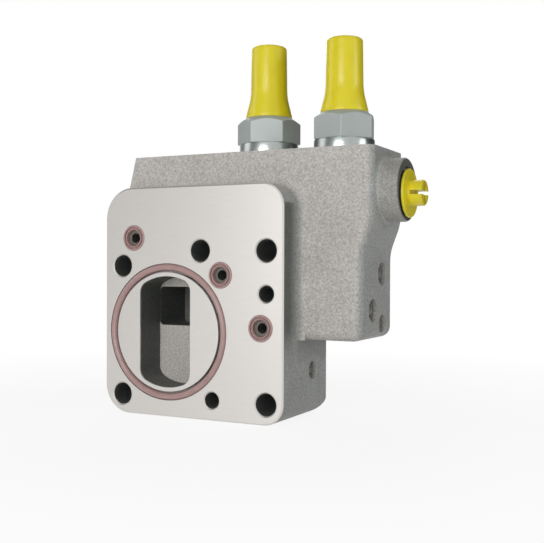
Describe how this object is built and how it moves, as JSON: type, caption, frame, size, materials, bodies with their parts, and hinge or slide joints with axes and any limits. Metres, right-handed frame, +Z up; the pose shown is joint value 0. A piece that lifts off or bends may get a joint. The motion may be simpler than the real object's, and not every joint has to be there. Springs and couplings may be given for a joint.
{
  "type": "pump control valve",
  "caption": "Cast iron load sensing and pressure cut-off valve for a piston pump, with screw adjusters under yellow caps, a plugged signal port and a sealed mounting face.",
  "frame": {"origin": "middle of the large seal ring, on the plane of the machined mounting face", "axes": "-Y out of the mounting face towards the pump, +Z up along the adjusters, +X towards the boss with the signal port"},
  "size_m": [0.1311, 0.0507, 0.1554],
  "materials": {
    "cast_body": "as cast, fine grained, with a machined mounting face",
    "face_seal": "matt brown pink",
    "black_seal": "matt",
    "zinc_steel": "bright zinc plated",
    "plug_steel": "plain steel",
    "black_steel": "black oxide",
    "ground_steel": "hardened and ground",
    "spring_steel": "oiled spring wire",
    "brass": "turned",
    "yellow_plastic": "glossy moulded"
  },
  "bodies": {
    "housing": {"housing": "cast_body", "face_seal": "face_seal", "port_seals": "face_seal", "expander_cups": "plug_steel", "expander_balls": "plug_steel", "bore_plugs": "black_steel", "bleed_orifice": "brass", "cutoff_cover": "zinc_steel", "cutoff_cover_ring": "black_seal", "sensing_cover": "zinc_steel", "sensing_cover_ring": "black_seal"},
    "cutoff_spool": {"cutoff_spool": "ground_steel", "cutoff_lower_seat": "ground_steel", "cutoff_outer_spring": "spring_steel", "cutoff_inner_spring": "spring_steel"},
    "cutoff_plunger": {"cutoff_plunger": "ground_steel", "cutoff_plunger_ring": "black_seal"},
    "cutoff_screw": {"cutoff_adjusting_screw": "zinc_steel"},
    "cutoff_nut": {"cutoff_lock_nut": "zinc_steel"},
    "cutoff_cap": {"cutoff_cap": "yellow_plastic"},
    "sensing_spool": {"sensing_spool": "ground_steel", "sensing_lower_seat": "ground_steel", "sensing_spring": "spring_steel"},
    "sensing_plunger": {"sensing_plunger": "ground_steel", "sensing_plunger_ring": "black_seal"},
    "sensing_screw": {"sensing_adjusting_screw": "zinc_steel"},
    "sensing_nut": {"sensing_lock_nut": "zinc_steel"},
    "sensing_cap": {"sensing_cap": "yellow_plastic"},
    "guard_ring": {"guard_plug_ring": "black_seal"},
    "guard_plug": {"guard_plug": "yellow_plastic"}
  },
  "joints": [
    {"name": "cutoff_spool_slide", "type": "slide", "parent": "housing", "child": "cutoff_spool", "axis": [0, 0, 1], "range_m": [0, 0.003], "stiffness_N_per_m": 40000, "deforming": ["cutoff_outer_spring", "cutoff_inner_spring"]},
    {"name": "cutoff_plunger_slide", "type": "slide", "parent": "housing", "child": "cutoff_plunger", "axis": [0, 0, 1], "range_m": [-0.003, 0.003]},
    {"name": "cutoff_screw_turn", "type": "hinge", "parent": "cutoff_plunger", "child": "cutoff_screw", "pos_m": [0.0313, 0.031, 0.1], "axis": [0, 0, 1], "range_deg": [-864.1, 864.1]},
    {"name": "cutoff_nut_turn", "type": "hinge", "parent": "housing", "child": "cutoff_nut", "pos_m": [0.0313, 0.031, 0.092], "axis": [0, 0, 1], "range_deg": [0, 90]},
    {"name": "cutoff_cap_lift", "type": "slide", "parent": "housing", "child": "cutoff_cap", "axis": [0, 0, 1], "range_m": [0, 0.03]},
    {"name": "sensing_spool_slide", "type": "slide", "parent": "housing", "child": "sensing_spool", "axis": [0, 0, 1], "range_m": [0, 0.003], "stiffness_N_per_m": 12000, "deforming": ["sensing_spring"]},
    {"name": "sensing_plunger_slide", "type": "slide", "parent": "housing", "child": "sensing_plunger", "axis": [0, 0, 1], "range_m": [-0.003, 0.003]},
    {"name": "sensing_screw_turn", "type": "hinge", "parent": "sensing_plunger", "child": "sensing_screw", "pos_m": [0.0659, 0.031, 0.1], "axis": [0, 0, 1], "range_deg": [-864.1, 864.1]},
    {"name": "sensing_nut_turn", "type": "hinge", "parent": "housing", "child": "sensing_nut", "pos_m": [0.0659, 0.031, 0.092], "axis": [0, 0, 1], "range_deg": [0, 90]},
    {"name": "sensing_cap_lift", "type": "slide", "parent": "housing", "child": "sensing_cap", "axis": [0, 0, 1], "range_m": [0, 0.03]},
    {"name": "guard_ring_slide", "type": "slide", "parent": "housing", "child": "guard_ring", "axis": [1, 0, 0], "range_m": [0, 0.012]},
    {"name": "guard_plug_turn", "type": "hinge", "parent": "guard_ring", "child": "guard_plug", "pos_m": [0.09, 0.031, 0.0564], "axis": [1, 0, 0], "range_deg": [0, 2880.1]}
  ],
  "couplings": [
    {"joint": "cutoff_screw_turn", "follows": "cutoff_plunger_slide", "rad_per_m": 5026.5},
    {"joint": "sensing_screw_turn", "follows": "sensing_plunger_slide", "rad_per_m": 5026.5},
    {"joint": "guard_plug_turn", "follows": "guard_ring_slide", "rad_per_m": 4188.8}
  ]
}
